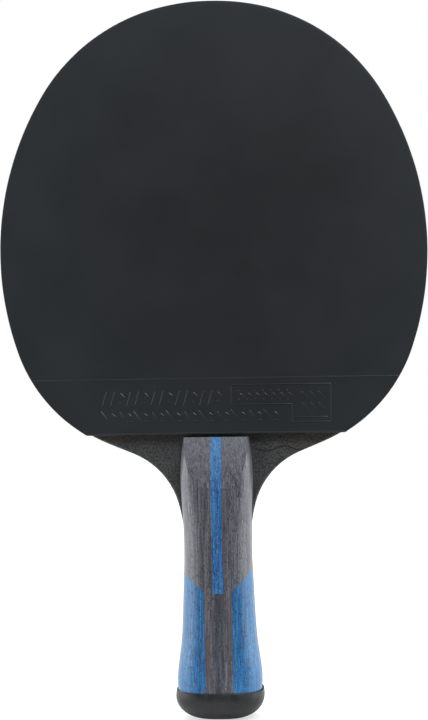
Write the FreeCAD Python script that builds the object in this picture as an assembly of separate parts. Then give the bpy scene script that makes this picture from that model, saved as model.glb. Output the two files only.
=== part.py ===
import FreeCAD, Part
import math
import os

# A table tennis paddle: a five-ply blade, a rubber sheet on sponge on each face, a handle scale of
# inlaid wood on each side of the blade's tang, and a cap on the handle's end.
#
# Millimetres and degrees. X is across the paddle, Y is through it and Z runs up the handle to the head.
# The front face looks along -Y. The origin is at the middle of the end cap's foot.
# The back is the front turned half a turn about Z.

V = FreeCAD.Vector
Z_AXIS = V(0, 0, 1)
TOLERANCE = 1e-4

# Whole paddle
TOTAL_LENGTH = 256.3
FAR = 200.0  # reach of a cutting block, past everything

# Head outline, from the crown round to the underside: radius and sweep of each tangent arc of one half.
# These are the rubber's radii. The blade's own edge lies RUBBER_OVERHANG inside them.
HEAD_ARCS = ((80.8, 11.5), (67.6, 47.2), (108.4, 50.5))
UNDERSIDE_RADIUS = 55.7
RUBBER_OVERHANG = 0.45
RUBBER_BOTTOM = 102.0
HALF_TURN = 180.0

# Blade shoulder: the underside arc runs into a straight, which two hollow arcs carry into the handle
BLADE_UNDERSIDE_SWEEP = 48.2
SHOULDER_STRAIGHT = 9.8
SHOULDER_ARCS = ((27.3, 52.1), (60.9, 16.0))
SHOULDER_ROUNDING = 0.9
TANG_ROOT = 57.3  # where the head's plate ends inside the handle

# Plies, front to back
PLIES = (
    ("outer_ply_front", 0.6),
    ("inner_ply_front", 0.6),
    ("core_ply", 3.6),
    ("inner_ply_back", 0.6),
    ("outer_ply_back", 0.6),
)
BLADE_THICKNESS = sum(thickness for name, thickness in PLIES)
BLADE_FACE = BLADE_THICKNESS / 2

# Rubber sheet
SPONGE_THICKNESS = 2.0
TOPSHEET_THICKNESS = 1.9
TOPSHEET_BACK = BLADE_FACE + SPONGE_THICKNESS
PLAYING_FACE = TOPSHEET_BACK + TOPSHEET_THICKNESS

# Raised moulding on the topsheet, in the strip above the handle
RIDGE_HEIGHT = 0.16
RIDGE_ROOT = 0.3  # how far a ridge is sunk into the sheet
RIDGE_WIDTH = 0.55
LABEL_TOP = 121.9
LABEL_FRAME_LEFT, LABEL_FRAME_RIGHT = 5.7, 41.2
LABEL_FRAME_LOW, LABEL_FRAME_HIGH = 112.3, 119.3
LABEL_BLOCK_LEFT, LABEL_BLOCK_LOW = 27.5, 106.0
HATCH_LEFT = -39.5
HATCH_PITCH = 2.9
HATCH_BAR = 0.6
HATCH_ROWS = ((112.7, 117.3, 15, 1.3), (106.3, 110.5, 22, -1.3))  # bottom, top, number of bars and lean
DOT_RADIUS = 0.6
DOT_PITCH = 3.0
DOT_COUNT = 6

# Handle sections, from the cap to the rubber: height, half width, half thickness and squareness.
# Squareness 2 is an ellipse, and more has flatter faces and tighter corners.
OVAL_SQUARENESS = 2.9
HANDLE_STATIONS = (
    (10.7, 15.05, 11.6, OVAL_SQUARENESS),
    (25.3, 13.95, 11.1, OVAL_SQUARENESS),
    (42.3, 12.85, 10.75, OVAL_SQUARENESS),
    (59.3, 12.2, 10.6, 3.0),
    (73.3, 12.5, 10.8, 3.2),
    (85.3, 13.05, 10.95, 3.6),
    (94.3, 12.55, 10.9, 3.9),
    (101.0, 11.75, 10.8, 4.0),
)
HANDLE_LOW = HANDLE_STATIONS[0][0]
HANDLE_TOP = HANDLE_STATIONS[-1][0]
OVAL_POINTS = 32
THUMB_BEVEL_START = 83.1  # the scale's face rounds down from here to its top end
THUMB_BEVEL_END_DEPTH = 6.9
THUMB_BEVEL_BULGE = 0.35  # how far the bevel swells out from flat at its middle
SCALE_END_ROUNDING = 0.3

# Inlays, the same in both scales
CENTRE_STRIP_HALF = 1.95
CENTRE_STRIP_JOINT = 45.7
LOWER_BAND_HALF = 4.75
FLANK_CORNER = 46.0
FLANK_SLOPES = {"left": 43.0, "right": 46.5}  # the two mitres aren't quite alike

# End cap and the spigot that it is glued to
CAP_FOOT_HALF_WIDTH, CAP_FOOT_HALF_DEPTH = 4.2, 3.0
CAP_FOOT_HEIGHT = 8.2
CAP_HALF_WIDTH, CAP_HALF_DEPTH = 15.9, 12.4
CAP_LIP_DRAW_IN = 0.3
CAP_LIP_ROUNDING = 0.35
CAP_ROUNDING_STEPS = 6
SPIGOT_LOW = 5.0
SPIGOT_HALF_WIDTH, SPIGOT_HALF_DEPTH = 13.8, 10.3


class Pen:
    """Draws tangent lines and arcs in the XZ plane, X to the right and Z up."""

    def __init__(self, x, z, heading=0.0):
        self.at = V(x, 0, z)
        self.heading = heading
        self.edges = []

    def _ahead(self, turn=0.0):
        angle = math.radians(self.heading + turn)
        return V(math.cos(angle), 0, math.sin(angle))

    def line(self, length):
        return self.line_to(self.at + self._ahead() * length)

    def line_to(self, end):
        self.edges.append(Part.LineSegment(self.at, end).toShape())
        self.at = end
        return self

    def arc(self, radius, sweep):
        """Turns right through sweep degrees, or left where sweep is negative."""
        side = math.copysign(1.0, sweep)
        centre = self.at + self._ahead(-90.0 * side) * radius
        middle = centre + self._ahead(90.0 * side - sweep / 2) * radius
        end = centre + self._ahead(90.0 * side - sweep) * radius
        self.edges.append(Part.Arc(self.at, middle, end).toShape())
        self.at = end
        self.heading -= sweep
        return self


def symmetric_face(half_edges):
    """A flat face from one half of an outline and its mirror image in X."""
    half = Part.Wire(half_edges)
    other = half.mirror(V(0, 0, 0), V(1, 0, 0))
    edges = Part.sortEdges(half.Edges + other.Edges)[0]
    return Part.Face(Part.Wire(edges))


def slab(face, near, far):
    """The XZ face made solid from Y = near to Y = far."""
    lifted = face.copy()
    lifted.translate(V(0, near, 0))
    return lifted.extrude(V(0, far - near, 0))


def block(x, y, z):
    """A box from (low, high) along each axis."""
    corner = V(x[0], y[0], z[0])
    return Part.makeBox(x[1] - x[0], y[1] - y[0], z[1] - z[0], corner)


def prism(points, near, far):
    """A solid from Y = near to Y = far on a polygon of (x, z) points."""
    corners = [V(x, 0, z) for x, z in points]
    return slab(Part.Face(Part.makePolygon(corners + corners[:1])), near, far)


def only_solid(shape):
    """The one solid that a boolean left, cleaned of split faces."""
    solids = shape.removeSplitter().Solids
    if len(solids) != 1:
        raise ValueError("expected one solid, and found %d" % len(solids))
    return solids[0]


def oval(z, half_width, half_depth, squareness=OVAL_SQUARENESS):
    """A closed superellipse section of the handle at height z."""
    points = []
    for i in range(OVAL_POINTS):
        angle = 2 * math.pi * i / OVAL_POINTS
        c, s = math.cos(angle), math.sin(angle)
        x = math.copysign(abs(c) ** (2 / squareness), c) * half_width
        y = math.copysign(abs(s) ** (2 / squareness), s) * half_depth
        points.append(V(x, y, z))
    curve = Part.BSplineCurve()
    curve.interpolate(Points=points, PeriodicFlag=True)
    return Part.Wire([curve.toShape()])


def head_pen(inset):
    """A pen that has drawn the head's half outline, inset from the rubber's, down to the underside."""
    pen = Pen(0, TOTAL_LENGTH - inset)
    for radius, sweep in HEAD_ARCS:
        pen.arc(radius - inset, sweep)
    return pen


def rubber_face():
    """The outline of a trimmed rubber sheet, cut straight across above the handle."""
    pen = head_pen(0.0)
    left_to_turn = HALF_TURN - sum(sweep for radius, sweep in HEAD_ARCS)
    pen.arc(UNDERSIDE_RADIUS, left_to_turn)
    pen.line_to(V(0, 0, pen.at.z))
    whole = symmetric_face(pen.edges)
    corner = V(-FAR, 0, RUBBER_BOTTOM)
    window = Part.makePlane(2 * FAR, 2 * FAR, corner, V(0, -1, 0), V(1, 0, 0))
    return whole.common(window).Faces[0]


def blade_face():
    """The outline of the blade's head and shoulders, which ends inside the handle."""
    pen = head_pen(RUBBER_OVERHANG)
    pen.arc(UNDERSIDE_RADIUS - RUBBER_OVERHANG, BLADE_UNDERSIDE_SWEEP)
    pen.line(SHOULDER_STRAIGHT)
    for radius, sweep in SHOULDER_ARCS:
        pen.arc(radius, -sweep)
    pen.line_to(V(pen.at.x, 0, TANG_ROOT))
    pen.line_to(V(0, 0, TANG_ROOT))
    return symmetric_face(pen.edges)


def blade_plate():
    """The head and shoulders in one piece, with the bare shoulders' edges rounded for the hand."""
    plate = slab(blade_face(), -BLADE_FACE, BLADE_FACE)
    covered = block((-FAR, FAR), (-FAR, FAR), (RUBBER_BOTTOM, TOTAL_LENGTH))
    shoulders = plate.cut(covered)
    rims = []
    for edge in shoulders.Edges:
        middle = edge.valueAt((edge.FirstParameter + edge.LastParameter) / 2)
        on_face = abs(abs(middle.y) - BLADE_FACE) < TOLERANCE
        level = edge.BoundBox.ZLength < TOLERANCE
        if on_face and not level:
            rims.append(edge)
    rounded = shoulders.makeFillet(SHOULDER_ROUNDING, rims)
    return plate.common(covered).fuse(rounded)


def bevel_waste(side):
    """What the thumb bevel takes off the handle's upper end, on the -Y or the +Y side."""
    start = V(-FAR, side * HANDLE_STATIONS[-1][2], THUMB_BEVEL_START)
    end = V(-FAR, side * THUMB_BEVEL_END_DEPTH, HANDLE_TOP)
    middle = (start + end) / 2 + V(0, side * THUMB_BEVEL_BULGE, 0)
    beyond = [end, V(-FAR, side * FAR, HANDLE_TOP), V(-FAR, side * FAR, THUMB_BEVEL_START), start]
    edges = [Part.Arc(start, middle, end).toShape()] + Part.makePolygon(beyond).Edges
    return Part.Face(Part.Wire(edges)).extrude(V(2 * FAR, 0, 0))


def edges_at_height(shape, z):
    """The edges that lie wholly in the plane at height z."""
    found = []
    for edge in shape.Edges:
        box = edge.BoundBox
        if z - TOLERANCE < box.ZMin and box.ZMax < z + TOLERANCE:
            found.append(edge)
    return found


def handle_body():
    """The whole handle as one solid, before it is split into tang and scales."""
    grip = Part.makeLoft([oval(*station) for station in HANDLE_STATIONS], True, False)
    for side in (-1, 1):
        grip = grip.cut(bevel_waste(side))
    grip = grip.makeFillet(SCALE_END_ROUNDING, edges_at_height(grip, HANDLE_TOP))
    spigot_oval = Part.Face(oval(SPIGOT_LOW, SPIGOT_HALF_WIDTH, SPIGOT_HALF_DEPTH))
    spigot = spigot_oval.extrude(Z_AXIS * (HANDLE_LOW - SPIGOT_LOW))
    return only_solid(grip.fuse(spigot))


def plies(handle):
    """The five veneers, each running from the crown down through the handle to the spigot's end."""
    board = only_solid(blade_plate().fuse(handle))
    made = {}
    near = -BLADE_FACE
    for name, thickness in PLIES:
        layer = block((-FAR, FAR), (near, near + thickness), (0, TOTAL_LENGTH))
        made[name] = only_solid(board.common(layer))
        near += thickness
    return made


def inlay_regions():
    """Each inlay of a scale as an XZ polygon, seen from the front."""
    regions = {
        "centre_inlay": [
            (-CENTRE_STRIP_HALF, CENTRE_STRIP_JOINT),
            (CENTRE_STRIP_HALF, CENTRE_STRIP_JOINT),
            (CENTRE_STRIP_HALF, FAR),
            (-CENTRE_STRIP_HALF, FAR),
        ],
        "lower_centre_strip": [
            (-CENTRE_STRIP_HALF, 0),
            (CENTRE_STRIP_HALF, 0),
            (CENTRE_STRIP_HALF, CENTRE_STRIP_JOINT),
            (-CENTRE_STRIP_HALF, CENTRE_STRIP_JOINT),
        ],
    }
    for name, side in (("left", -1), ("right", 1)):
        mitre_run = FAR - LOWER_BAND_HALF
        mitre_end = FLANK_CORNER + mitre_run * math.tan(math.radians(FLANK_SLOPES[name]))
        regions["grip_" + name] = [
            (side * CENTRE_STRIP_HALF, 0),
            (side * LOWER_BAND_HALF, 0),
            (side * LOWER_BAND_HALF, FLANK_CORNER),
            (side * FAR, mitre_end),
            (side * CENTRE_STRIP_HALF, mitre_end),
        ]
        regions["flank_" + name] = [
            (side * LOWER_BAND_HALF, 0),
            (side * FAR, 0),
            (side * FAR, mitre_end),
            (side * LOWER_BAND_HALF, FLANK_CORNER),
        ]
    return regions


def scale_front(handle):
    """The front handle scale as its six glued inlays."""
    made = {}
    for name, region in inlay_regions().items():
        made[name + "_front"] = only_solid(handle.common(prism(region, -FAR, -BLADE_FACE)))
    return made


def ridge(x, z):
    """A straight raised ridge on the front topsheet, from (low, high) in X and in Z."""
    return block(x, (-PLAYING_FACE - RIDGE_HEIGHT, -PLAYING_FACE + RIDGE_ROOT), z)


def frame_ridges():
    """The stepped frame on the right of the label strip, as straight ridges."""
    width = RIDGE_WIDTH
    left, right = LABEL_FRAME_LEFT, LABEL_FRAME_RIGHT
    low, high = LABEL_FRAME_LOW, LABEL_FRAME_HIGH
    block_left, block_low = LABEL_BLOCK_LEFT, LABEL_BLOCK_LOW
    return [
        ridge((left, right), (high - width, high)),
        ridge((left, left + width), (low, high)),
        ridge((right - width, right), (block_low, high)),
        ridge((left, block_left + width), (low, low + width)),
        ridge((block_left, block_left + width), (block_low, low + width)),
        ridge((block_left, right), (block_low, block_low + width)),
    ]


def hatch_bars():
    """Rows of slanted bars where a label would be. They carry no lettering."""
    bars = []
    for low, high, count, lean in HATCH_ROWS:
        for i in range(count):
            x = HATCH_LEFT + i * HATCH_PITCH
            outline = [
                (x, low),
                (x + HATCH_BAR, low),
                (x + HATCH_BAR + lean, high),
                (x + lean, high),
            ]
            bars.append(prism(outline, -PLAYING_FACE - RIDGE_HEIGHT, -PLAYING_FACE + RIDGE_ROOT))
    return bars


def frame_dots():
    """A row of raised dots in the frame's long window."""
    middle_z = (LABEL_FRAME_LOW + LABEL_FRAME_HIGH) / 2
    start_x = LABEL_FRAME_LEFT + DOT_PITCH
    dots = []
    for i in range(DOT_COUNT):
        foot = V(start_x + i * DOT_PITCH, -PLAYING_FACE + RIDGE_ROOT, middle_z)
        dots.append(Part.makeCylinder(DOT_RADIUS, RIDGE_ROOT + RIDGE_HEIGHT, foot, V(0, -1, 0)))
    return dots


def topsheet_front(outline):
    """The moulded rubber sheet. Its inward pimples and the sheet above them are one thickness."""
    sheet = slab(outline, -PLAYING_FACE, -TOPSHEET_BACK)
    envelope = slab(outline, -PLAYING_FACE - RIDGE_HEIGHT, -TOPSHEET_BACK)
    cross_ridge = ridge((-FAR, FAR), (LABEL_TOP - RIDGE_WIDTH / 2, LABEL_TOP + RIDGE_WIDTH / 2))
    edge_ridge = ridge((-FAR, FAR), (RUBBER_BOTTOM, RUBBER_BOTTOM + RIDGE_WIDTH))
    raised = [long_ridge.common(envelope) for long_ridge in (cross_ridge, edge_ridge)]
    raised += frame_ridges() + hatch_bars() + frame_dots()
    return only_solid(sheet.fuse(raised))


def end_cap():
    """A cup with a rounded foot, which stands a little proud of the handle all round."""
    sections = []
    for step in range(CAP_ROUNDING_STEPS + 1):
        angle = math.radians(90.0 * (1 - step / CAP_ROUNDING_STEPS))
        z = CAP_FOOT_HEIGHT * (1 - math.sin(angle))
        spread = math.cos(angle)
        half_width = CAP_FOOT_HALF_WIDTH + spread * (CAP_HALF_WIDTH - CAP_FOOT_HALF_WIDTH)
        half_depth = CAP_FOOT_HALF_DEPTH + spread * (CAP_HALF_DEPTH - CAP_FOOT_HALF_DEPTH)
        sections.append(oval(z, half_width, half_depth))
    lip = (CAP_HALF_WIDTH - CAP_LIP_DRAW_IN, CAP_HALF_DEPTH - CAP_LIP_DRAW_IN)
    sections.append(oval(HANDLE_LOW, *lip))
    cup = Part.makeLoft(sections, True, False)
    cup = cup.makeFillet(CAP_LIP_ROUNDING, edges_at_height(cup, HANDLE_LOW))
    cavity = Part.Face(oval(SPIGOT_LOW, SPIGOT_HALF_WIDTH, SPIGOT_HALF_DEPTH))
    return only_solid(cup.cut(cavity.extrude(Z_AXIS * FAR)))


def turned_to_back(shape):
    """The same piece on the back face."""
    copy = shape.copy()
    copy.rotate(V(0, 0, 0), Z_AXIS, HALF_TURN)
    return copy


def build():
    """Every sub-part of the paddle, by name."""
    handle = handle_body()
    outline = rubber_face()
    front = {
        "sponge_front": slab(outline, -TOPSHEET_BACK, -BLADE_FACE),
        "topsheet_front": topsheet_front(outline),
    }
    front.update(scale_front(handle))
    parts = plies(handle)
    parts.update(front)
    for name, shape in front.items():
        parts[name.replace("_front", "_back")] = turned_to_back(shape)
    parts["end_cap"] = end_cap()
    return parts


os.makedirs("parts", exist_ok=True)
for name, shape in build().items():
    if not shape.isValid():
        raise ValueError(name + " isn't a valid solid")
    shape.exportStep(os.path.join("parts", name + ".step"))
    print("%-26s %8.2f cm3" % (name, shape.Volume / 1000))
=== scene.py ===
import math

import bmesh
import bpy
import numpy as np
from mathutils import Matrix, Vector, noise


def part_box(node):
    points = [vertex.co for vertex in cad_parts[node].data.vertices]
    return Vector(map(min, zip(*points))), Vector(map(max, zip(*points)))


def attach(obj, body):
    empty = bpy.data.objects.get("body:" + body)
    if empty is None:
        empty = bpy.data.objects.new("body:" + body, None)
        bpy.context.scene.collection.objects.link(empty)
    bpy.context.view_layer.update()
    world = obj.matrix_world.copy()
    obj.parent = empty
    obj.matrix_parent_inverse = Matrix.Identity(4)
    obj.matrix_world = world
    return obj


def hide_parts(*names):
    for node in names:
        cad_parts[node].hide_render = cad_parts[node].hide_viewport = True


# The looks of a table tennis paddle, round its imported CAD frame. Metres, Z up, front face towards -Y.
# Sheets, sponges and pimples are rebuilt here. Plies, handle inlays and cap keep their CAD shape.

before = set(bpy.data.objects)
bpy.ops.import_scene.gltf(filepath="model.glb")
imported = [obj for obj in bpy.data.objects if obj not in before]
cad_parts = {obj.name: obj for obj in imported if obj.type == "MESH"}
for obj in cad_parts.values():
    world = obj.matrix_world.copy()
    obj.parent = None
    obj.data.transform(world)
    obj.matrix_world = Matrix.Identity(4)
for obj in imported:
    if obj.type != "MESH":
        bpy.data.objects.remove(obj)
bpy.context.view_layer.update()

MM = 0.001
SNAP = 0.01 * MM  # how near two heights are when they count as one
FRONT, BACK = "front", "back"
BODY = "root"

# Camera, as the photograph was taken
CAMERA_DISTANCE = 560 * MM
AIM_HEIGHT = 128.4 * MM
SEEN_HEIGHT = 259.2 * MM  # what the picture's height takes in at the paddle
SENSOR = 36.0  # in Blender's millimetres, fitted to the picture's longer side, its height
CAMERA_TURN = 3.0  # degrees, round to the right
CAMERA_ROLL = 0.95  # degrees
CAMERA_SIDESTEP = -0.4 * MM
CLIP_START, CLIP_END = 0.01, 50.0

# Rubber: outward from the blade's face
SHEET_BACKING = 1.0 * MM  # the smooth sheet, without its pimples
SHEET_ROUNDING = 0.28 * MM
ROUNDING_STEPS = 4
SHEET_FILL_INSET = 1.2 * MM  # where the flat middle of the playing face starts
OUTLINE_STEP = 0.45 * MM
CUT_WOBBLE = 0.035 * MM  # how far a hand-trimmed edge wanders
CUT_WOBBLE_LENGTH = 9 * MM
SPONGE_INSET = 0.14 * MM
SPONGE_ROUGHNESS = 0.055 * MM
SPONGE_ROWS = 7
SPONGE_CELL = 0.55 * MM
SPONGE_FILL_INSET = 1.5 * MM  # where the flat middle of the sponge's faces starts
SPONGE_CREASE = 50  # degrees between faces that meet in a sharp edge

# Pimples, in a hexagonal field on the sheet's inner side
PIMPLE_PITCH = 2.1 * MM
PIMPLE_TOP_RADIUS = 0.82 * MM
PIMPLE_ROOT_RADIUS = 0.95 * MM
PIMPLE_SIDES = 10
PIMPLE_CLEARANCE = 0.1 * MM  # from the trimmed edge
PIMPLE_SINK = 0.03 * MM  # how far a root reaches into the sheet
PIMPLE_LEAST = 0.3  # a pimple stays where its centre is this many radii inside the edge
PIMPLE_CREASE = 40  # degrees between faces that meet in a sharp edge

# Moulding in the strip above the handle, measured up from the sheet's bottom edge
STRIP_HEIGHT = 19.9 * MM
RIDGE_WIDTH = 0.52 * MM
RIDGE_HEIGHT = 0.16 * MM
RIDGE_MARGIN = 0.8 * MM  # between the end of the strip's border and the sheet's side
BEAD_UP = 0.55 * MM
BEAD_MARGIN = 0.9 * MM
FRAME_HEIGHT = 0.09 * MM
MARK_WIDTH = 0.62 * MM
MARK_HEIGHT = 0.125 * MM  # low and broad, so that a whole flank catches the key light
RIDGE_SINK = 0.015 * MM
MARK_ROUGHNESS = 0.15
MOUND_SHARES = (1.0, 0.8, 0.6, 0.4, 0.2, 0.05)  # of the half width, from the foot to the crest
MOUND_END_STEPS = 6

# Motifs of the strip's rows, in mm: lines from (x, up) to (x, up), x from the motif's own place
LEANING_BAR = (((0.0, 10.7), (1.3, 15.3)),)
STUD_AND_SLOPE = (((0.4, 11.7), (0.4, 11.7)), ((0.6, 14.9), (1.9, 13.6)))
LONG_SLOPE = (((0.0, 8.5), (2.6, 4.9)),)
SHORT_SLOPE = (((1.0, 8.0), (2.2, 5.9)),)
BAR_AND_SLOPE = (((0.9, 4.8), (2.0, 4.8)), ((1.0, 7.6), (2.0, 6.8)))
FRAMED_STUDS = (((0.0, 15.4), (0.0, 15.4)), ((0.7, 14.3), (1.8, 13.2)), ((0.2, 12.3), (0.2, 12.3)))
BLOCK_SLOPES = (((0.0, 14.6), (1.7, 12.6)), ((0.3, 10.6), (1.9, 8.4)))
MARK_PITCH = 2.9
MARK_ROWS = (  # each row's left end, how many places it has, and the motifs that take turns in them
    (-40.0, 15, (LEANING_BAR, LEANING_BAR, STUD_AND_SLOPE)),
    (-40.6, 22, (LONG_SLOPE, BAR_AND_SLOPE, SHORT_SLOPE, BAR_AND_SLOPE)),
    (8.4, 7, (FRAMED_STUDS,)),
    (31.0, 3, (BLOCK_SLOPES,)),
)

# Colours. Dyed veneer has a body from dark to light, with dark pores and pale flecks.
RUBBER_SPECULAR = 0.25
RUBBER_ROUGHNESS = 0.50
# Each rubber's paler second colour carries a painted sheen towards the rim, and a random mottle
# elsewhere.
BLACK_RUBBER = {"deep": (0.0112, 0.0118, 0.0136), "mottle_and_rim_sheen": (0.0150, 0.0192, 0.0230)}
RED_RUBBER = {"deep": (0.27, 0.009, 0.008), "mottle_and_rim_sheen": (0.32, 0.015, 0.012)}
GREY_DYE = {
    "dark": (0.038, 0.039, 0.047),
    "light": (0.103, 0.108, 0.130),
    "pore": (0.014, 0.014, 0.018),
    "fleck": (0.20, 0.205, 0.235),
}
DARK_GREY_DYE = {
    "dark": (0.024, 0.026, 0.034),
    "light": (0.072, 0.077, 0.096),
    "pore": (0.010, 0.010, 0.014),
    "fleck": (0.15, 0.155, 0.18),
}
BLUE_DYE = {
    "dark": (0.009, 0.060, 0.188),
    "light": (0.037, 0.157, 0.38),
    "pore": (0.004, 0.016, 0.06),
    "fleck": (0.10, 0.34, 0.64),
}
DEEP_BLUE_DYE = {
    "dark": (0.0030, 0.054, 0.163),
    "light": (0.0100, 0.121, 0.308),
    "pore": (0.004, 0.018, 0.07),
    "fleck": (0.055, 0.28, 0.52),
}
GLUE_STAIN = (0.115, 0.068, 0.052)
INLAY_SEAM = (0.035, 0.022, 0.018)
INNER_PLY = {"dark": (0.27, 0.155, 0.075), "light": (0.46, 0.29, 0.15)}
CORE_PLY = {"dark": (0.36, 0.235, 0.12), "light": (0.60, 0.44, 0.26)}
HANDLED_PLY = (0.17, 0.155, 0.145)
SPONGE_DARK, SPONGE_LIGHT = (0.56, 0.25, 0.055), (0.66, 0.33, 0.09)
# painted shade in the foam's opened cells
SPONGE_HOLLOW_SHADE = (0.26, 0.10, 0.02)
PLY_SEAM = (0.10, 0.055, 0.03)
STAIN_DARK, STAIN_LIGHT = (0.018, 0.019, 0.0195), (0.068, 0.068, 0.069)
STAIN_RING = (0.006, 0.006, 0.006)
STAINED_EDGE_DARK, STAINED_EDGE_LIGHT = (0.17, 0.12, 0.07), (0.36, 0.27, 0.17)
STAINED_EDGE_SEAM = (0.06, 0.035, 0.02)
CAP_DARK, CAP_LIGHT = (0.0090, 0.0092, 0.0108), (0.0158, 0.0156, 0.0160)
CAP_DUST = (0.05, 0.047, 0.042)
# painted shade at the cap's foot
CAP_FOOT_SHADE = (0.002, 0.002, 0.002)
TABLE_DARK, TABLE_LIGHT = (0.45, 0.45, 0.45), (0.48, 0.48, 0.48)

# Studio: the room's brightness by direction, and softboxes with their power in watts
ROOM_LOW = 0.05
ROOM_SIDE = 3.9
ROOM_LEAN = 0.06  # how much further round to the front the left side's brightness reaches
ROOM_TOP = 1.1
SKY_TINT = (0.88, 0.95, 1.0)
SIDE_RISE = (0.33, 0.95)  # from where to where the sides brighten, measured by X * (X - ROOM_LEAN)
TOP_RISE = (0.22, 0.85)  # from where to where it brightens overhead, measured by Z
KEY_POWER = 5.0
KEY_PLACE = (0.36, -0.65, 0.75)
BACK_PLACE = (-0.36, 0.65, 0.75)
SOFTBOX_AIM = (0.0, 0.0, 0.12)
SOFTBOX_SIDE = 0.4
FLOOR_GLOW = 0.6
TABLE_FRONT, TABLE_BACK, TABLE_SIDE = -0.05, 1.7, 1.6
FOOT_GAP = 0.05 * MM  # keeps the table's face from lying in the foot's


# ---------------------------------------------------------------- the frame's measures


def low_corner(node):
    """The least x, y and z of a CAD node."""
    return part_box(node)[0]


def high_corner(node):
    """The greatest x, y and z of a CAD node."""
    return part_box(node)[1]


def depths(node):
    """How far a layer's inner and outer side are from the mid-plane between the two faces."""
    return sorted((abs(low_corner(node).y), abs(high_corner(node).y)))


# ---------------------------------------------------------------- outline of a rubber sheet


def catmull_rom(points, step):
    """Points at about every step along a smooth open curve through the given points."""
    points = [Vector(p) for p in points]
    padded = [2 * points[0] - points[1]] + points + [2 * points[-1] - points[-2]]
    smooth = []
    for a, b, c, d in zip(padded, padded[1:], padded[2:], padded[3:]):
        span = (c - b).length
        count = max(1, round(span / step))
        leave = (c - a).normalized() * span
        arrive = (d - b).normalized() * span
        for i in range(count):
            t = i / count
            hermite = (
                (2 * t**3 - 3 * t**2 + 1) * b
                + (t**3 - 2 * t**2 + t) * leave
                + (3 * t**2 - 2 * t**3) * c
                + (t**3 - t**2) * arrive
            )
            smooth.append(hermite)
    smooth.append(points[-1])
    return smooth


def sheet_outline(node):
    """The rubber's outline as (x, z) points, anticlockwise from the bottom right corner."""
    corners = {(round(v.co.x, 7), round(v.co.z, 7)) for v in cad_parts[node].data.vertices}
    rim = [Vector(corner) for corner in corners]
    bottom = min(p.y for p in rim)
    on_cut = [p for p in rim if p.y < bottom + SNAP]
    right = max(on_cut, key=lambda p: p.x)
    left = min(on_cut, key=lambda p: p.x)
    middle = (bottom + max(p.y for p in rim)) / 2
    start_angle = math.atan2(right.y - middle, right.x)

    def turn(p):
        """The angle round the head's middle, from the bottom right corner."""
        return (math.atan2(p.y - middle, p.x) - start_angle) % (2 * math.pi)

    curve = sorted((p for p in rim if p.y >= bottom + SNAP), key=turn)
    outline = catmull_rom([right] + curve + [left], OUTLINE_STEP)
    count = round((right - left).length / OUTLINE_STEP)
    return outline + [left.lerp(right, i / count) for i in range(1, count)]


OUTLINE = sheet_outline("sponge_front")
HEAD_MIDDLE = Vector((0, (OUTLINE[0].y + max(p.y for p in OUTLINE)) / 2))
BOTTOM = OUTLINE[0].y


def inward(outline, inset, wobble=0.0):
    """The outline moved inwards by inset and about wobble more, unevenly, like a hand-cut edge."""
    moved = []
    count = len(outline)
    for i, point in enumerate(outline):
        along = (outline[(i + 1) % count] - outline[i - 1]).normalized()
        normal = Vector((-along.y, along.x))
        place = Vector((point.x, 0, point.y)) / CUT_WOBBLE_LENGTH
        wander = wobble * (1 + noise.noise(place)) if wobble else 0.0
        moved.append(point + normal * (inset + wander))
    return moved


def reach_table(outline):
    """For each of many directions from the head's middle, the distance to the outline."""
    offsets = [p - HEAD_MIDDLE for p in outline]
    angles = np.array([math.atan2(o.y, o.x) for o in offsets])
    order = np.argsort(angles)
    return angles[order], np.array([o.length for o in offsets])[order]


# ---------------------------------------------------------------- making meshes


def placed(point, height, side):
    """The point (x, z) of a front face, seen from the front, at that height off the mid-plane."""
    if side == FRONT:
        return Vector((point.x, -height, point.y))
    return Vector((-point.x, height, point.y))


def new_piece(name, mesh, material, replaced=None):
    """A smooth-shaded object of the bmesh, riding on the frame."""
    data = bpy.data.meshes.new(name)
    bmesh.ops.recalc_face_normals(mesh, faces=mesh.faces)
    mesh.to_mesh(data)
    mesh.free()
    for polygon in data.polygons:
        polygon.use_smooth = True
    piece = bpy.data.objects.new(name, data)
    bpy.context.scene.collection.objects.link(piece)
    data.materials.append(material)
    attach(piece, BODY)
    if replaced:
        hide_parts(replaced)
    return piece


def join_loops(mesh, loops):
    """Quads between each loop of vertices and the next."""
    for lower, upper in zip(loops, loops[1:]):
        count = len(lower)
        for i in range(count):
            k = (i + 1) % count
            mesh.faces.new((lower[i], lower[k], upper[k], upper[i]))


def stacked_loops(mesh, rings):
    """A closed solid through rings of points, with its first and last ring filled."""
    loops = [[mesh.verts.new(p) for p in ring] for ring in rings]
    join_loops(mesh, loops)
    mesh.faces.new(loops[0])
    mesh.faces.new(loops[-1])


def mound(mesh, start, end, width, height, face, side):
    """A raised mark with soft flanks and round ends, on a face. A stud starts where it ends."""
    along = (end - start).normalized() if (end - start).length > 0 else Vector((1, 0))
    rings = []
    for share in MOUND_SHARES:
        lift = height * (0.5 + 0.5 * math.cos(math.pi * share)) - RIDGE_SINK * (share == 1.0)
        ring = []
        for centre, heading in ((end, -90.0), (start, 90.0)):
            for i in range(MOUND_END_STEPS + 1):
                angle = math.radians(heading + 180.0 * i / MOUND_END_STEPS)
                spoke = Matrix.Rotation(angle, 2) @ along
                ring.append(placed(centre + spoke * (share * width / 2), face + lift, side))
        rings.append(ring)
    stacked_loops(mesh, rings)


# ---------------------------------------------------------------- moulded marks


def strip_point(x, up):
    """A point of the moulded strip: x across, in mm, and up from the sheet's bottom edge, in mm."""
    return Vector((x * MM, BOTTOM + up * MM))


def ridge_lines():
    """The long ridges: the strip's upper border and the bead along the sheet's bottom edge."""
    lines = []
    for up, margin in ((STRIP_HEIGHT, RIDGE_MARGIN), (BEAD_UP, BEAD_MARGIN)):
        half = reach_at(BOTTOM + up) - margin
        lines.append((Vector((-half, BOTTOM + up)), Vector((half, BOTTOM + up))))
    return lines


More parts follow.
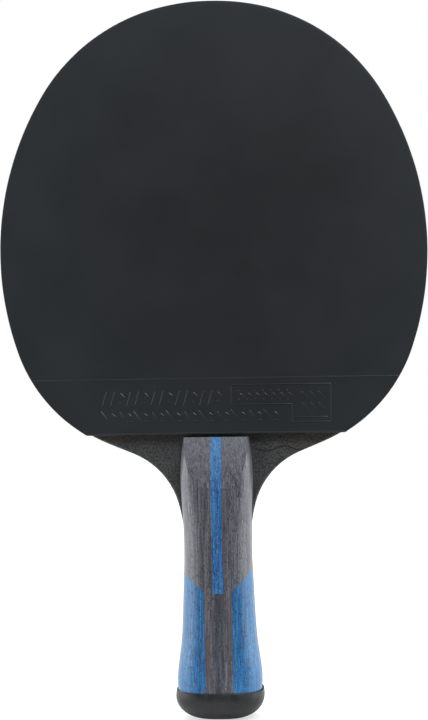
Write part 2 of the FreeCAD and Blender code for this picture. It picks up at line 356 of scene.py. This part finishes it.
def frame_lines():
    """The stepped frame at the strip's right, with a short line across the foot of its block."""
    left, right, high, low = 5.9, 41.2, 17.4, 10.4
    block_left, block_low = 27.5, 4.0
    corners = (
        (left, high),
        (right, high),
        (right, block_low),
        (block_left, block_low),
        (block_left, low),
        (left, low),
        (left, high),
    )
    lines = list(zip(corners, corners[1:]))
    inset, lift = 1.2, 1.7  # of the short line, from the block's sides and foot
    lines.append(((block_left + inset, block_low + lift), (right - inset, block_low + lift)))
    return [(strip_point(*a), strip_point(*b)) for a, b in lines]


def reach_at(z):
    """Half the sheet's width at height z."""
    return max(p.x for p in OUTLINE if abs(p.y - z) < OUTLINE_STEP)


def mark_lines():
    """The rows of plain bars, slopes and studs that fill the strip. They spell nothing."""
    marks = []
    for left, places, motifs in MARK_ROWS:
        for i in range(places):
            x = left + MARK_PITCH * i
            for (start_x, start_up), (end_x, end_up) in motifs[i % len(motifs)]:
                marks.append((strip_point(x + start_x, start_up), strip_point(x + end_x, end_up)))
    return marks


# ---------------------------------------------------------------- rubber, pimples and sponge


def make_topsheet(side, material):
    """The smooth sheet, with a rounded outer edge and its moulded marks."""
    face = depths("topsheet_" + side)[1] - RIDGE_HEIGHT
    back = face - SHEET_BACKING
    edge = inward(OUTLINE, 0.0, CUT_WOBBLE)
    soft = SHEET_ROUNDING
    profile = [(soft, back), (0.25 * soft, back + 0.3 * soft), (0.0, back + soft), (0.0, face - soft)]
    for step in range(1, ROUNDING_STEPS + 1):
        angle = math.radians(90.0 * step / ROUNDING_STEPS)
        profile.append((soft * (1 - math.cos(angle)), face - soft * (1 - math.sin(angle))))
    profile.append((SHEET_FILL_INSET, face))
    mesh = bmesh.new()
    rings = [[placed(p, height, side) for p in inward(edge, inset)] for inset, height in profile]
    stacked_loops(mesh, rings)
    for start, end in ridge_lines():
        mound(mesh, start, end, RIDGE_WIDTH, RIDGE_HEIGHT, face, side)
    for start, end in frame_lines():
        mound(mesh, start, end, RIDGE_WIDTH, FRAME_HEIGHT, face, side)
    for start, end in mark_lines():
        mound(mesh, start, end, MARK_WIDTH, MARK_HEIGHT, face, side)
    new_piece("topsheet_skin_" + side, mesh, material, "topsheet_" + side)


def pimple_centres(angles, reaches):
    """The pimples' centres, as offsets from the head's middle, in a hexagonal field."""
    row_gap = PIMPLE_PITCH * math.sqrt(3) / 2
    columns = math.ceil(max(p.x for p in OUTLINE) / PIMPLE_PITCH)
    rows = math.ceil((max(p.y for p in OUTLINE) - BOTTOM) / row_gap)
    row, column = np.meshgrid(np.arange(rows), np.arange(-columns, columns + 1), indexing="ij")
    x = (column + 0.5 * (row % 2)) * PIMPLE_PITCH
    z = BOTTOM - HEAD_MIDDLE.y + 0.5 * PIMPLE_PITCH + row * row_gap
    centres = np.stack([x.ravel(), z.ravel()], axis=-1)
    limit = np.interp(np.arctan2(centres[:, 1], centres[:, 0]), angles, reaches, period=2 * math.pi)
    return centres[np.hypot(centres[:, 0], centres[:, 1]) < limit - PIMPLE_LEAST * PIMPLE_TOP_RADIUS]


def make_pimples(side, material):
    """The field of pimples between sheet and sponge, cut off at the trimmed edge."""
    foot = depths("sponge_" + side)[1]
    root = depths("topsheet_" + side)[1] - RIDGE_HEIGHT - SHEET_BACKING + PIMPLE_SINK
    angles, reaches = reach_table(inward(OUTLINE, PIMPLE_CLEARANCE + CUT_WOBBLE))
    centres = pimple_centres(angles, reaches)
    turns = 2 * math.pi * np.arange(PIMPLE_SIDES) / PIMPLE_SIDES
    circle = np.stack([np.cos(turns), np.sin(turns)], axis=-1)
    forward = 1 if side == BACK else -1
    rings = []
    for radius, level in ((PIMPLE_TOP_RADIUS, foot), (PIMPLE_ROOT_RADIUS, root)):
        spokes = centres[:, None, :] + circle[None, :, :] * radius
        length = np.hypot(spokes[..., 0], spokes[..., 1])
        directions = np.arctan2(spokes[..., 1], spokes[..., 0])
        limit = np.interp(directions, angles, reaches, period=2 * math.pi)
        spokes *= np.minimum(1.0, limit / length)[..., None]
        x = spokes[..., 0] * -forward
        y = np.full_like(x, level * forward)
        rings.append(np.stack([x, y, spokes[..., 1] + HEAD_MIDDLE.y], axis=-1))
    vertices = np.stack(rings, axis=1).reshape(-1, 3)
    faces = []
    for first in range(0, len(vertices), 2 * PIMPLE_SIDES):
        foot_ring = [first + i for i in range(PIMPLE_SIDES)]
        root_ring = [i + PIMPLE_SIDES for i in foot_ring]
        faces += [foot_ring[::-1], root_ring]
        for i in range(PIMPLE_SIDES):
            faces.append((foot_ring[i - 1], foot_ring[i], root_ring[i], root_ring[i - 1]))
    data = bpy.data.meshes.new("pimples_" + side)
    data.from_pydata(vertices.tolist(), [], faces)
    mesh = bmesh.new()
    mesh.from_mesh(data)
    bpy.data.meshes.remove(data)
    piece = new_piece("pimples_" + side, mesh, material)
    piece.data.set_sharp_from_angle(angle=math.radians(PIMPLE_CREASE))


def make_sponge(side, material):
    """The sponge layer, whose cut edge is rough with opened cells."""
    near, far = depths("sponge_" + side)
    edge = inward(OUTLINE, SPONGE_INSET, CUT_WOBBLE)
    mesh = bmesh.new()
    rings = []
    for row in range(SPONGE_ROWS + 1):
        level = near + (far - near) * row / SPONGE_ROWS
        ring = []
        for point, inner in zip(edge, inward(edge, SPONGE_ROUGHNESS)):
            cell = noise.noise(Vector((point.x, level, point.y)) / SPONGE_CELL)
            ring.append(placed(point.lerp(inner, 1 + cell), level, side))
        rings.append(ring)
    middle = inward(edge, SPONGE_FILL_INSET)
    inner_face = [placed(p, near, side) for p in middle]
    outer_face = [placed(p, far, side) for p in middle]
    stacked_loops(mesh, [inner_face] + rings + [outer_face])
    piece = new_piece("sponge_layer_" + side, mesh, material, "sponge_" + side)
    piece.data.set_sharp_from_angle(angle=math.radians(SPONGE_CREASE))


# ---------------------------------------------------------------- materials


def set_range(node, low, high, to_low, to_high):
    """Sets a Map Range node's four limits."""
    node.inputs["From Min"].default_value = low
    node.inputs["From Max"].default_value = high
    node.inputs["To Min"].default_value = to_low
    node.inputs["To Max"].default_value = to_high


class Shader:
    """A material's node tree, built up by short calls. Lengths in patterns are in millimetres."""

    def __init__(self, name, roughness, specular=0.5):
        self.material = bpy.data.materials.new(name)
        self.material.use_nodes = True
        self.tree = self.material.node_tree
        self.surface = self.tree.nodes["Principled BSDF"]
        self.surface.inputs["Roughness"].default_value = roughness
        self.surface.inputs["Specular IOR Level"].default_value = specular
        place = self.tree.nodes.new("ShaderNodeTexCoord")
        self.place = self.vector("MULTIPLY", place.outputs["Object"], (1 / MM, 1 / MM, 1 / MM))

    def plug(self, socket, value):
        """Links a socket to another's output, or sets it to a plain value."""
        if isinstance(value, bpy.types.NodeSocket):
            self.tree.links.new(value, socket)
        elif isinstance(value, tuple) and len(value) == 3 and len(socket.default_value) == 4:
            socket.default_value = (*value, 1.0)
        else:
            socket.default_value = value

    def vector(self, operation, a, b):
        """A sum, product or the like of two vectors, axis by axis."""
        node = self.tree.nodes.new("ShaderNodeVectorMath")
        node.operation = operation
        self.plug(node.inputs[0], a)
        self.plug(node.inputs[1], b)
        return node.outputs["Vector"]

    def length(self, vector):
        """The length of a vector."""
        node = self.tree.nodes.new("ShaderNodeVectorMath")
        node.operation = "LENGTH"
        self.plug(node.inputs[0], vector)
        return node.outputs["Value"]

    def number(self, operation, a, b=0.0, clamp=False):
        """A sum, product or the like of two numbers, kept within 0 and 1 if clamped."""
        node = self.tree.nodes.new("ShaderNodeMath")
        node.operation = operation
        node.use_clamp = clamp
        self.plug(node.inputs[0], a)
        self.plug(node.inputs[1], b)
        return node.outputs[0]

    def noise(self, size, detail=3.0, roughness=0.55, distortion=0.0, shift=0.0):
        """Noise from 0 to 1, with features about size mm along each axis. A shift gives another."""
        vector = self.vector("DIVIDE", self.place, size)
        if shift:
            vector = self.vector("ADD", vector, (shift, shift, shift))
        node = self.tree.nodes.new("ShaderNodeTexNoise")
        self.plug(node.inputs["Vector"], vector)
        node.inputs["Scale"].default_value = 1.0
        node.inputs["Detail"].default_value = detail
        node.inputs["Roughness"].default_value = roughness
        node.inputs["Distortion"].default_value = distortion
        return node.outputs["Fac"]

    def cells(self, size):
        """Distance from the nearest of a scatter of points about size mm apart."""
        node = self.tree.nodes.new("ShaderNodeTexVoronoi")
        self.plug(node.inputs["Vector"], self.vector("DIVIDE", self.place, size))
        node.inputs["Scale"].default_value = 1.0
        return node.outputs["Distance"]

    def fade(self, value, low, high, to_low=0.0, to_high=1.0):
        """The value's way from low to high, smoothly, as a number from to_low to to_high."""
        node = self.tree.nodes.new("ShaderNodeMapRange")
        node.interpolation_type = "SMOOTHSTEP"
        set_range(node, low, high, to_low, to_high)
        self.plug(node.inputs["Value"], value)
        return node.outputs["Result"]

    def mix(self, share, a, b):
        """Colour a where the share is 0, colour b where it is 1, and a blend between."""
        node = self.tree.nodes.new("ShaderNodeMix")
        node.data_type = "RGBA"
        self.plug(node.inputs[0], share)
        self.plug(node.inputs[6], a)
        self.plug(node.inputs[7], b)
        return node.outputs[2]

    def mix_numbers(self, share, a, b):
        """Number a where the share is 0, number b where it is 1, and a blend between."""
        node = self.tree.nodes.new("ShaderNodeMix")
        for socket, value in zip(("Factor", "A", "B"), (share, a, b)):
            self.plug(node.inputs[socket], value)
        return node.outputs["Result"]

    def axis(self, name, source=None):
        """One coordinate of the place, in mm, or of another vector."""
        node = self.tree.nodes.new("ShaderNodeSeparateXYZ")
        self.plug(node.inputs[0], self.place if source is None else source)
        return node.outputs[name]

    def facing_y(self):
        """How squarely the surface faces front or back: 0 on an edge and 1 on a face."""
        geometry = self.tree.nodes.new("ShaderNodeNewGeometry")
        return self.number("ABSOLUTE", self.axis("Y", geometry.outputs["True Normal"]))

    def colour(self, value):
        """Gives the surface its colour."""
        self.plug(self.surface.inputs["Base Color"], value)

    def rough(self, value):
        """Gives the surface its roughness."""
        self.plug(self.surface.inputs["Roughness"], value)

    def bump(self, *layers):
        """Adds surface relief. Each layer is a height from 0 to 1 and what 1 stands for, in mm."""
        normal = None
        for height, depth in layers:
            node = self.tree.nodes.new("ShaderNodeBump")
            node.inputs["Strength"].default_value = 1.0
            node.inputs["Distance"].default_value = depth * MM
            self.plug(node.inputs["Height"], height)
            if normal is not None:
                self.plug(node.inputs["Normal"], normal)
            normal = node.outputs["Normal"]
        self.plug(self.surface.inputs["Normal"], normal)

    def coat(self, weight, roughness):
        """Lays clear lacquer over the surface."""
        self.surface.inputs["Coat Weight"].default_value = weight
        self.surface.inputs["Coat Roughness"].default_value = roughness


def rubber_sheet(name, deep, mottle_and_rim_sheen):
    """Matte moulded rubber with a painted sheen that pales it towards the rim, a paler random mottle,
    and smoother raised marks.
    """
    look = Shader(name, RUBBER_ROUGHNESS, RUBBER_SPECULAR)
    # Painted sheen: the colour pales outward from a point a little right of the middle towards the rim.
    deepest = (10.0, 0.0, HEAD_MIDDLE.y / MM)
    rim = look.vector("MULTIPLY", look.vector("SUBTRACT", look.place, deepest), (1.0, 0.0, 0.93))
    painted_rim_sheen = look.fade(look.length(rim), 30.0, 86.0)
    bloom = look.noise((26.0, 26.0, 26.0), 4.0, 0.6)
    share = look.number("MULTIPLY", painted_rim_sheen, 0.85)
    share = look.number("ADD", share, look.fade(bloom, 0.3, 0.8, 0.0, 0.25), clamp=True)
    look.colour(look.mix(share, deep, mottle_and_rim_sheen))
    face = (high_corner("topsheet_back").y - RIDGE_HEIGHT) / MM
    raised = look.fade(look.number("ABSOLUTE", look.axis("Y")), face + 0.01, face + 0.05)
    flat = look.fade(bloom, 0.25, 0.75, RUBBER_ROUGHNESS - 0.05, RUBBER_ROUGHNESS + 0.06)
    smoother = look.number("MULTIPLY", raised, RUBBER_ROUGHNESS - MARK_ROUGHNESS)
    look.rough(look.number("SUBTRACT", flat, smoother))
    fine = look.noise((0.35, 0.35, 0.35), 2.0, 0.6)
    look.bump((fine, 0.006), (look.noise((3.0, 3.0, 3.0), 2.0), 0.02))
    return look.material


def sponge_foam():
    """Fine-celled foam, with painted shade darkening its opened cells at the cut edge."""
    look = Shader("sponge foam", 0.9, 0.2)
    cells = look.cells((0.24, 0.24, 0.24))
    opened = look.fade(cells, 0.12, 0.42)
    patch = look.noise((7.0, 7.0, 7.0), 3.0)
    body = look.mix(look.fade(patch, 0.3, 0.7), SPONGE_DARK, SPONGE_LIGHT)
    # Painted shade: the opened cells' hollows are darkened in colour as well as sunk by the bump.
    look.colour(look.mix(opened, SPONGE_HOLLOW_SHADE, body))
    look.bump((opened, 0.07), (look.noise((0.5, 0.5, 0.5)), 0.05))
    return look.material


def wood_grain(look, dark, light, width, length, shift=0.0):
    """Colour of plain wood whose grain runs up Z, and the pattern of its fibres."""
    bands = look.noise((width, width, length), 3.0, 0.6, 0.6, shift)
    fibres = look.noise((0.42, 0.42, 9.0), 3.0, 0.65, 0.0, shift)
    blend = look.number("ADD", look.number("MULTIPLY", bands, 0.4), look.number("MULTIPLY", fibres, 0.6))
    return look.mix(look.fade(blend, 0.37, 0.63), dark, light), fibres


def seam_line(look, distances, half_width=0.075):
    """1 on a glue seam and 0 away from it, for distances from seams in mm."""
    nearest = look.number("ABSOLUTE", distances[0])
    for distance in distances[1:]:
        nearest = look.number("MINIMUM", nearest, look.number("ABSOLUTE", distance))
    return look.fade(nearest, 0.3 * half_width, 2.2 * half_width, 1.0, 0.0)


def glue_line(look):
    """1 where brown glue shows: right of the blue strip, and beside both flanks below it."""
    x = look.axis("X")
    strip_side = high_corner("centre_inlay_front").x / MM
    strip_foot = low_corner("centre_inlay_front").z / MM
    beside = look.number("ABSOLUTE", look.number("SUBTRACT", x, strip_side + 0.3))
    upper = look.fade(beside, 0.1, 0.55, 1.0, 0.0)
    beside_flank = low_corner("flank_right_front").x / MM - 0.6
    across = look.number("ABSOLUTE", look.number("SUBTRACT", look.number("ABSOLUTE", x), beside_flank))
    lower = look.fade(across, 0.3, 1.4, 0.8, 0.0)
    above = look.fade(look.axis("Z"), strip_foot - 0.5, strip_foot + 1.5)
    return look.mix_numbers(above, lower, upper)


def inlay_seams(look):
    """Distances in mm from the seams between a scale's inlays and between scale and tang."""
    x = look.number("ABSOLUTE", look.axis("X"))
    y = look.number("ABSOLUTE", look.axis("Y"))
    z = look.axis("Z")
    strip_half = high_corner("centre_inlay_front").x / MM
    joint = low_corner("centre_inlay_front").z / MM
    band_half = low_corner("flank_right_front").x / MM
    tang = -high_corner("lower_centre_strip_front").y / MM
    far_off = 50.0  # added where a seam doesn't run
    above_band = look.fade(z, joint + 0.9, joint + 1.0, 0.0, far_off)
    band = look.number("ADD", look.number("ABSOLUTE", look.number("SUBTRACT", x, band_half)), above_band)
    over_strip = look.fade(x, strip_half, strip_half + 0.1, 0.0, far_off)
    across = look.number("ADD", look.number("ABSOLUTE", look.number("SUBTRACT", z, joint)), over_strip)
    return [look.number("SUBTRACT", x, strip_half), band, across, look.number("SUBTRACT", y, tang)]


def dyed_wood(name, shift, dark, light, pore, fleck):
    """Dyed, lacquered veneer: upright fibres and dark pores, with a painted highlight on the top bevel
    and a painted sheen on the rounded side edges.
    """
    look = Shader(name, 0.42, 0.5)
    body, fibres = wood_grain(look, dark, light, 1.1, 34.0, shift)
    streak = look.noise((0.42, 0.42, 40.0), 2.0, 0.5, 0.0, shift + 5.0)
    body = look.mix(look.fade(streak, 0.53, 0.68, 0.0, 0.45), body, fleck)
    flecks = look.noise((0.36, 0.36, 0.75), 1.0, 0.5, 0.0, shift + 23.0)
    body = look.mix(look.fade(flecks, 0.60, 0.72, 0.0, 0.55), body, fleck)
    pores = look.noise((0.36, 0.36, 1.2), 1.0, 0.5, 0.0, shift + 11.0)
    open_pore = look.fade(pores, 0.57, 0.66)
    body = look.mix(look.number("MULTIPLY", open_pore, 0.85), body, pore)
    patches = look.noise((1.5, 1.5, 4.0), 2.0, 0.5, 0.0, shift + 31.0)
    tan = look.number("MULTIPLY", glue_line(look), look.fade(patches, 0.35, 0.6, 0.15, 0.6))
    body = look.mix(tan, body, GLUE_STAIN)
    # Painted light: the top bevel gets a painted highlight and the rounded side edges a painted sheen,
    # both mixed towards the pale fleck colour.
    painted_bevel_light = look.fade(look.axis("Z"), 86.0, 97.0, 0.0, 0.12)
    hand_grime_and_edge_sheen = look.fade(look.number("ABSOLUTE", look.axis("X")), 8.5, 12.0, 0.0, 0.14)
    body = look.mix(look.number("MAXIMUM", painted_bevel_light, hand_grime_and_edge_sheen), body, fleck)
    seam = seam_line(look, inlay_seams(look))
    look.colour(look.mix(look.number("MULTIPLY", seam, 0.35), body, INLAY_SEAM))
    look.rough(look.fade(streak, 0.3, 0.7, 0.36, 0.50))
    pit = look.number("MULTIPLY", open_pore, 0.6)
    height = look.number("SUBTRACT", look.number("MULTIPLY", fibres, 0.4), pit)
    look.bump((height, 0.045), (look.number("SUBTRACT", 1.0, seam), 0.03))
    look.coat(0.35, 0.28)
    return look.material


def ply_seams(look):
    """Distances in mm from the glue lines between the plies."""
    y = look.number("ABSOLUTE", look.axis("Y"))
    seams = [high_corner(ply).y / MM for ply in ("core_ply", "inner_ply_back")]
    return [look.number("SUBTRACT", y, seam) for seam in seams]


def bare_ply(name, dark, light):
    """Unstained veneer, seen on the blade's edge, greyed by hands where it runs down the handle."""
    look = Shader(name, 0.62, 0.35)
    body, fibres = wood_grain(look, dark, light, 1.3, 45.0)
    seam = seam_line(look, ply_seams(look), 0.06)
    # Grime from hands greys the ply down the handle.
    hand_grime_and_edge_sheen = look.fade(look.axis("Z"), 60.0, 100.0, 0.85, 0.0)
    body = look.mix(hand_grime_and_edge_sheen, body, HANDLED_PLY)
    look.colour(look.mix(look.number("MULTIPLY", seam, 0.8), body, PLY_SEAM))
    look.rough(look.fade(fibres, 0.3, 0.7, 0.5, 0.72))
    look.bump((fibres, 0.05))
    return look.material


def stained_ply():
    """The outer veneer: stained charcoal on its face, faintly mottled, and pale at its cut edge."""
    look = Shader("stained ply", 0.55, 0.4)
    mottle = look.noise((0.60, 0.60, 0.75), 2.0, 0.6)
    cloud = look.noise((5.0, 5.0, 8.0), 2.0, 0.5, 0.0, 3.0)
    blend = look.number("ADD", look.number("MULTIPLY", mottle, 0.8), look.number("MULTIPLY", cloud, 0.2))
    face = look.mix(look.fade(blend, 0.38, 0.62), STAIN_DARK, STAIN_LIGHT)
    face = look.mix(look.number("MULTIPLY", growth_line(look), 0.85), face, STAIN_RING)
    edge, fibres = wood_grain(look, STAINED_EDGE_DARK, STAINED_EDGE_LIGHT, 1.1, 40.0, 7.0)
    seam = seam_line(look, ply_seams(look), 0.06)
    edge = look.mix(look.number("MULTIPLY", seam, 0.85), edge, STAINED_EDGE_SEAM)
    on_face = look.fade(look.facing_y(), 0.25, 0.6)
    look.colour(look.mix(on_face, edge, face))
    look.rough(look.fade(mottle, 0.3, 0.7, 0.46, 0.64))
    look.bump((mottle, 0.03), (fibres, 0.015))
    return look.material


def growth_line(look):
    """1 on the one growth ring that shows through the stain, across the right shoulder."""
    crest_x, wavelength, amplitude, height = 24.5, 13.0, 0.9, 96.0
    x = look.axis("X")
    phase = look.number("MULTIPLY", look.number("SUBTRACT", x, crest_x), 2 * math.pi / wavelength)
    wave = look.number("MULTIPLY", look.number("COSINE", phase), amplitude)
    wander = look.number("MULTIPLY", look.noise((4.0, 4.0, 4.0)), 0.8)
    level = look.number("ADD", look.number("ADD", wave, wander), height)
    off_line = look.number("ABSOLUTE", look.number("SUBTRACT", look.axis("Z"), level))
    line = look.fade(off_line, 0.14, 0.42, 1.0, 0.0)
    return look.number("MULTIPLY", line, look.fade(x, 12.5, 15.5))


def cap_rubber():
    """A dark soft moulding with a fine texture, a little dust, painted shade that darkens its foot, and
    a scuffed rougher foot.
    """
    look = Shader("cap rubber", 0.45, 0.33)
    cloud = look.noise((4.0, 4.0, 4.0), 3.0)
    grain = look.noise((0.22, 0.22, 0.22), 2.0, 0.6)
    body = look.mix(look.fade(cloud, 0.3, 0.7), CAP_DARK, CAP_LIGHT)
    dust = look.fade(look.noise((0.5, 0.5, 0.5), 2.0, 0.6, 0.0, 9.0), 0.58, 0.72, 0.0, 0.5)
    body = look.mix(dust, body, CAP_DUST)
    # Painted shade: the colour darkens towards the foot, where the cap meets the table.
    look.colour(look.mix(look.fade(look.axis("Z"), 1.5, 5.0, 0.8, 0.0), body, CAP_FOOT_SHADE))
    scuffed = look.fade(look.axis("Z"), 1.0, 5.5, 0.40, 0.0)
    look.rough(look.number("ADD", look.fade(cloud, 0.3, 0.7, 0.36, 0.48), scuffed))
    look.bump((grain, 0.02))
    return look.material


def floor_paint():
    """A plain pale light table, whose own glow all but hides shadows."""
    look = Shader("studio floor", 0.85, 0.1)
    look.colour(look.mix(look.noise((400.0, 400.0, 400.0)), TABLE_DARK, TABLE_LIGHT))
    look.surface.inputs["Emission Color"].default_value = (1.0, 1.0, 1.0, 1.0)
    look.surface.inputs["Emission Strength"].default_value = FLOOR_GLOW
    return look.material


# ---------------------------------------------------------------- the paddle


def dress(node, material):
    """Gives a CAD node its material, in place of the plain one that it came with."""
    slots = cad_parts[node].data.materials
    slots.clear()
    slots.append(material)


def make_paddle():
    """Builds the rubbers and sponges, and gives plies, inlays and cap their materials."""
    black = rubber_sheet("black rubber", **BLACK_RUBBER)
    red = rubber_sheet("red rubber", **RED_RUBBER)
    foam = sponge_foam()
    for side, rubber in ((FRONT, black), (BACK, red)):
        make_topsheet(side, rubber)
        make_pimples(side, rubber)
        make_sponge(side, foam)
    grey = dyed_wood("grey wood", 0.0, **GREY_DYE)
    low_grey = dyed_wood("dark grey wood", 70.0, **DARK_GREY_DYE)
    blue = dyed_wood("blue wood", 40.0, **BLUE_DYE)
    deep_blue = dyed_wood("deep blue wood", 90.0, **DEEP_BLUE_DYE)
    stained = stained_ply()
    inner = bare_ply("inner ply", **INNER_PLY)
    for side in (FRONT, BACK):
        dress("centre_inlay_" + side, blue)
        dress("lower_centre_strip_" + side, low_grey)
        for hand in ("left", "right"):
            dress("grip_%s_%s" % (hand, side), grey)
            dress("flank_%s_%s" % (hand, side), deep_blue)
        dress("outer_ply_" + side, stained)
        dress("inner_ply_" + side, inner)
    dress("core_ply", bare_ply("core ply", **CORE_PLY))
    dress("end_cap", cap_rubber())


# ---------------------------------------------------------------- studio


def make_floor():
    """A wide pale table top, just under the cap's foot, that ends a little way in front of it."""
    mesh = bmesh.new()
    corners = (
        (-TABLE_SIDE, TABLE_FRONT),
        (TABLE_SIDE, TABLE_FRONT),
        (TABLE_SIDE, TABLE_BACK),
        (-TABLE_SIDE, TABLE_BACK),
    )
    mesh.faces.new([mesh.verts.new((x, y, -FOOT_GAP)) for x, y in corners])
    data = bpy.data.meshes.new("floor")
    mesh.to_mesh(data)
    mesh.free()
    floor = bpy.data.objects.new("floor", data)
    data.materials.append(floor_paint())
    bpy.context.scene.collection.objects.link(floor)


def softbox(name, place):
    """A square area light that looks at the paddle."""
    light = bpy.data.lights.new(name, "AREA")
    light.shape = "RECTANGLE"
    light.size = light.size_y = SOFTBOX_SIDE
    light.energy = KEY_POWER
    lamp = bpy.data.objects.new(name, light)
    lamp.location = place
    lamp.rotation_euler = (Vector(SOFTBOX_AIM) - Vector(place)).to_track_quat("-Z", "Y").to_euler()
    bpy.context.scene.collection.objects.link(lamp)


def make_world():
    """A studio bright at both sides and overhead, dim around the camera, and white where seen."""
    world = bpy.data.worlds.new("studio")
    world.use_nodes = True
    tree = world.node_tree
    direction = tree.nodes.new("ShaderNodeTexCoord")
    split = tree.nodes.new("ShaderNodeSeparateXYZ")
    tree.links.new(direction.outputs["Generated"], split.inputs[0])

    def rise(value, limits, base, strength):
        """Brightness that goes from base to strength as the value passes from limit to limit."""
        node = tree.nodes.new("ShaderNodeMapRange")
        node.interpolation_type = "SMOOTHSTEP"
        set_range(node, *limits, base, strength)
        tree.links.new(value, node.inputs["Value"])
        return node.outputs["Result"]

    def glow(colour, strength):
        """A sky of one colour, with a brightness that is a number or another node's output."""
        node = tree.nodes.new("ShaderNodeBackground")
        node.inputs["Color"].default_value = (*colour, 1.0)
        if isinstance(strength, float):
            node.inputs["Strength"].default_value = strength
        else:
            tree.links.new(strength, node.inputs["Strength"])
        return node.outputs["Background"]

    leaning = tree.nodes.new("ShaderNodeMath")
    leaning.operation = "SUBTRACT"
    tree.links.new(split.outputs["X"], leaning.inputs[0])
    leaning.inputs[1].default_value = ROOM_LEAN
    sideways = tree.nodes.new("ShaderNodeMath")
    sideways.operation = "MULTIPLY"
    tree.links.new(split.outputs["X"], sideways.inputs[0])
    tree.links.new(leaning.outputs[0], sideways.inputs[1])
    white = (1.0, 1.0, 1.0)
    sides = glow(white, rise(sideways.outputs[0], SIDE_RISE, ROOM_LOW, ROOM_LOW + ROOM_SIDE))
    overhead = glow(SKY_TINT, rise(split.outputs["Z"], TOP_RISE, 0.0, ROOM_TOP))
    room = tree.nodes.new("ShaderNodeAddShader")
    tree.links.new(sides, room.inputs[0])
    tree.links.new(overhead, room.inputs[1])
    path = tree.nodes.new("ShaderNodeLightPath")
    seen = tree.nodes.new("ShaderNodeMixShader")
    tree.links.new(path.outputs["Is Camera Ray"], seen.inputs[0])
    tree.links.new(room.outputs[0], seen.inputs[1])
    tree.links.new(glow(white, 1.0), seen.inputs[2])
    tree.links.new(seen.outputs[0], tree.nodes["World Output"].inputs["Surface"])
    bpy.context.scene.world = world


def make_lights():
    """A softbox high on the camera's right, and its opposite number behind."""
    softbox("key light", KEY_PLACE)
    softbox("back light", BACK_PLACE)


def make_camera():
    """The photograph's view: nearly square on, a hair to the right, and tilted a little."""
    data = bpy.data.cameras.new("camera")
    data.sensor_width = SENSOR
    data.lens = SENSOR * CAMERA_DISTANCE / SEEN_HEIGHT
    data.clip_start, data.clip_end = CLIP_START, CLIP_END
    turn = math.radians(CAMERA_TURN)
    aim = Vector((0.0, 0.0, AIM_HEIGHT))
    back = Vector((math.sin(turn), -math.cos(turn), 0.0))
    camera = bpy.data.objects.new("camera", data)
    level = (-back).to_track_quat("-Z", "Y").to_matrix().to_4x4()
    roll = Matrix.Rotation(-math.radians(CAMERA_ROLL), 4, "Z")
    sidestep = level.to_3x3() @ Vector((CAMERA_SIDESTEP, 0.0, 0.0))
    camera.matrix_world = Matrix.Translation(aim + back * CAMERA_DISTANCE + sidestep) @ level @ roll
    bpy.context.scene.collection.objects.link(camera)
    bpy.context.scene.camera = camera


make_paddle()
make_floor()
make_world()
make_lights()
make_camera()
bpy.context.scene.view_settings.view_transform = "Standard"
